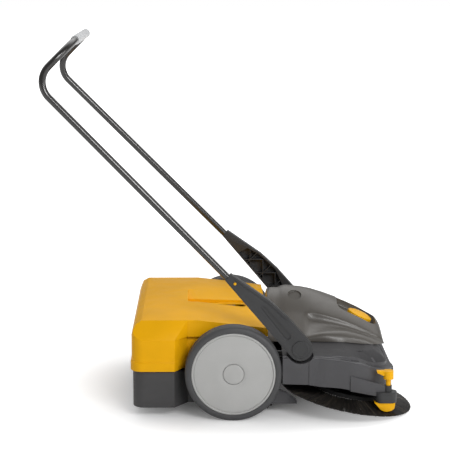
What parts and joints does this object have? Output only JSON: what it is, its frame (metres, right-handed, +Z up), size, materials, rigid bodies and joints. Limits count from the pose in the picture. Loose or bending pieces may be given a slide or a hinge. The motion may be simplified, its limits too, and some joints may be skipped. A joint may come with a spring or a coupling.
{
  "type": "walk-behind sweeper",
  "caption": "Push sweeper with tilted disc brushes in front, a yellow lift-out hopper between large wheels, a grey hood and a bent tube handle.",
  "frame": {"origin": "middle of the machine's box, on the floor", "axes": "+X forward, towards the brushes; +Y to the machine's left; +Z up"},
  "size_m": [1.0386, 0.769, 1.058],
  "materials": {
    "tyre": "matt dark grey tread",
    "wheel_grey": "satin moulded light grey",
    "dark_plastic": "fine-grained moulded dark grey",
    "gear_plastic": "natural nylon",
    "steel": "zinc-plated steel",
    "belt_rubber": "black belt rubber",
    "bristle": "black nylon bristles",
    "lip_rubber": "black rubber",
    "hood_plastic": "satin warm grey with a metallic tint",
    "yellow_plastic": "satin to glossy moulded yellow",
    "tube_paint": "glossy black powder coat",
    "grip_plastic": "pale grey sleeve"
  },
  "bodies": {
    "chassis": {"base_housing": "dark_plastic", "hood": "hood_plastic", "hood_screws": "steel", "right_side_plate": "dark_plastic", "left_side_plate": "dark_plastic", "stub_axles": "steel", "axle_clips": "steel", "pivot_pins": "steel", "right_drive_belt": "belt_rubber", "left_drive_belt": "belt_rubber", "dust_roller_belt": "belt_rubber", "right_bearing_bracket": "dark_plastic", "left_bearing_bracket": "dark_plastic", "support_guide": "dark_plastic", "presser_bracket": "dark_plastic"},
    "handle": {"handle_tube": "tube_paint", "handle_grip": "grip_plastic", "right_handle_arm": "dark_plastic", "left_handle_arm": "dark_plastic", "right_arm_cap": "dark_plastic", "left_arm_cap": "dark_plastic"},
    "right_wheel": {"right_tyre": "tyre", "right_wheel_disc": "wheel_grey", "right_hub_cap": "wheel_grey", "right_wheel_pulley": "dark_plastic"},
    "right_drive": {"right_drive_shaft": "steel", "right_drive_pulley": "dark_plastic", "right_bevel_pinion": "gear_plastic"},
    "right_brush": {"right_brush_bristles": "bristle", "right_brush_plate": "dark_plastic", "right_brush_spindle": "steel", "right_bevel_gear": "gear_plastic"},
    "right_button": {"right_snap_button": "yellow_plastic"},
    "left_wheel": {"left_tyre": "tyre", "left_wheel_disc": "wheel_grey", "left_hub_cap": "wheel_grey", "left_wheel_pulley": "dark_plastic"},
    "left_drive": {"left_drive_shaft": "steel", "left_drive_pulley": "dark_plastic", "left_bevel_pinion": "gear_plastic"},
    "left_brush": {"left_brush_bristles": "bristle", "left_brush_plate": "dark_plastic", "left_brush_spindle": "steel", "left_bevel_gear": "gear_plastic"},
    "left_button": {"left_snap_button": "yellow_plastic"},
    "dust_roller": {"dust_roller_shaft": "steel", "dust_roller_core": "dark_plastic", "dust_roller_bristles": "bristle", "dust_roller_pulley": "dark_plastic"},
    "hopper": {"hopper_cover": "yellow_plastic", "hopper_bin": "dark_plastic", "hopper_lip": "lip_rubber", "hopper_handle": "dark_plastic"},
    "dial": {"height_dial": "yellow_plastic"},
    "support_carrier": {"support_fork": "dark_plastic", "support_pin": "steel"},
    "support_wheel": {"support_roller": "lip_rubber"},
    "edge_presser": {"presser_knob": "yellow_plastic", "presser_shoe": "yellow_plastic"}
  },
  "joints": [
    {"name": "handle_tilt", "type": "hinge", "parent": "chassis", "child": "handle", "pos_m": [0.1925, 0, 0.204], "axis": [0, 1, 0], "range_deg": [0, 48]},
    {"name": "right_wheel_spin", "type": "hinge", "parent": "chassis", "child": "right_wheel", "pos_m": [0.0065, 0, 0.135], "axis": [0, 1, 0], "continuous": true},
    {"name": "right_drive_spin", "type": "hinge", "parent": "chassis", "child": "right_drive", "pos_m": [0.34873, 0, 0.13029], "axis": [0, 1, 0], "continuous": true},
    {"name": "right_brush_spin", "type": "hinge", "parent": "chassis", "child": "right_brush", "pos_m": [0.3306, -0.193, 0.03704], "axis": [0.1908, 0, 0.9816], "continuous": true},
    {"name": "right_button_press", "type": "slide", "parent": "handle", "child": "right_button", "axis": [0, 1, 0], "range_m": [0, 0.003], "stiffness_N_per_m": 800, "springref_m": -0.002},
    {"name": "left_wheel_spin", "type": "hinge", "parent": "chassis", "child": "left_wheel", "pos_m": [0.0065, 0, 0.135], "axis": [0, 1, 0], "continuous": true},
    {"name": "left_drive_spin", "type": "hinge", "parent": "chassis", "child": "left_drive", "pos_m": [0.34873, 0, 0.13029], "axis": [0, 1, 0], "continuous": true},
    {"name": "left_brush_spin", "type": "hinge", "parent": "chassis", "child": "left_brush", "pos_m": [0.3306, 0.193, 0.03704], "axis": [0.1908, 0, 0.9816], "continuous": true},
    {"name": "left_button_press", "type": "slide", "parent": "handle", "child": "left_button", "axis": [0, -1, 0], "range_m": [0, 0.003], "stiffness_N_per_m": 800, "springref_m": -0.002},
    {"name": "dust_roller_spin", "type": "hinge", "parent": "chassis", "child": "dust_roller", "pos_m": [0.092, 0, 0.044], "axis": [0, 1, 0], "continuous": true},
    {"name": "hopper_slide", "type": "slide", "parent": "chassis", "child": "hopper", "axis": [-1, 0, 0], "range_m": [0, 0.4]},
    {"name": "dial_turn", "type": "hinge", "parent": "chassis", "child": "dial", "pos_m": [0.3855, 0, 0.212], "axis": [0.4067, 0, 0.9135], "range_deg": [-90, 180]},
    {"name": "support_height", "type": "slide", "parent": "chassis", "child": "support_carrier", "axis": [0, 0, 1], "range_m": [-0.0051, 0.0101]},
    {"name": "support_wheel_spin", "type": "hinge", "parent": "support_carrier", "child": "support_wheel", "pos_m": [0.44, 0, 0.015], "axis": [0, 1, 0], "continuous": true},
    {"name": "edge_presser_turn", "type": "hinge", "parent": "chassis", "child": "edge_presser", "pos_m": [0.437, -0.325, 0.09], "axis": [0, 0, 1], "range_deg": [0, 90]}
  ],
  "couplings": [
    {"joint": "right_drive_spin", "follows": "right_wheel_spin", "ratio": 2},
    {"joint": "right_brush_spin", "follows": "right_wheel_spin", "ratio": 1.3333},
    {"joint": "left_drive_spin", "follows": "left_wheel_spin", "ratio": 2},
    {"joint": "left_brush_spin", "follows": "left_wheel_spin", "ratio": -1.3333},
    {"joint": "dust_roller_spin", "follows": "left_wheel_spin", "ratio": 3.1429},
    {"joint": "support_height", "follows": "dial_turn", "m_per_rad": 0.0031831}
  ]
}
